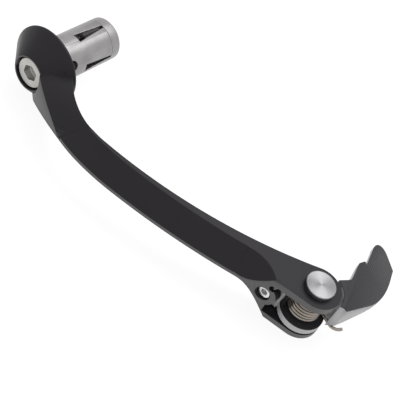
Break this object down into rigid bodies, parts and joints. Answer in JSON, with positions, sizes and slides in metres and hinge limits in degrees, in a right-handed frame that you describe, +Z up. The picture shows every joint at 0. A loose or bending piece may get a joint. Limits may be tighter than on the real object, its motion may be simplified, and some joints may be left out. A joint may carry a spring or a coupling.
{
  "type": "bar-end brake lever guard",
  "caption": "Curved metal guard arm that clamps in a handlebar's end and carries a spring-loaded folding tip in front of the brake lever.",
  "frame": {"origin": "on the handlebar axis, at the rear face of the clamp head", "axes": "+X outboard along the handlebar axis, +Y forward, +Z up"},
  "size_m": [0.0742, 0.1711, 0.0328],
  "materials": {
    "black_anodised": "black anodised, satin",
    "tip_anodised": "black anodised, with fine machining lines",
    "zinc_steel": "bright zinc",
    "bare_aluminium": "bright turned",
    "turned_steel": "face turned",
    "spring_steel": "drawn wire",
    "washer_plastic": "plain",
    "bush_brass": "plain",
    "guide_plastic": "plain"
  },
  "bodies": {
    "guard": {"arm": "black_anodised", "clamp_bolt": "zinc_steel", "lock_washer": "zinc_steel", "expander_sleeve": "bare_aluminium", "wedge_nut": "bare_aluminium", "pivot_pin": "turned_steel", "pin_clip": "spring_steel", "thrust_washer": "washer_plastic", "spring_guide": "guide_plastic", "torsion_spring": "spring_steel", "adjuster_screw": "zinc_steel"},
    "tip": {"folding_tip": "tip_anodised", "tip_bush": "bush_brass"}
  },
  "joints": [
    {"name": "tip_fold", "type": "hinge", "parent": "guard", "child": "tip", "pos_m": [-0.00874, 0.1374, 0], "axis": [0, 0, -1], "range_deg": [0, 70], "stiffness_Nm_per_rad": 0.12, "springref_deg": -20.05, "deforming": ["torsion_spring"]}
  ]
}
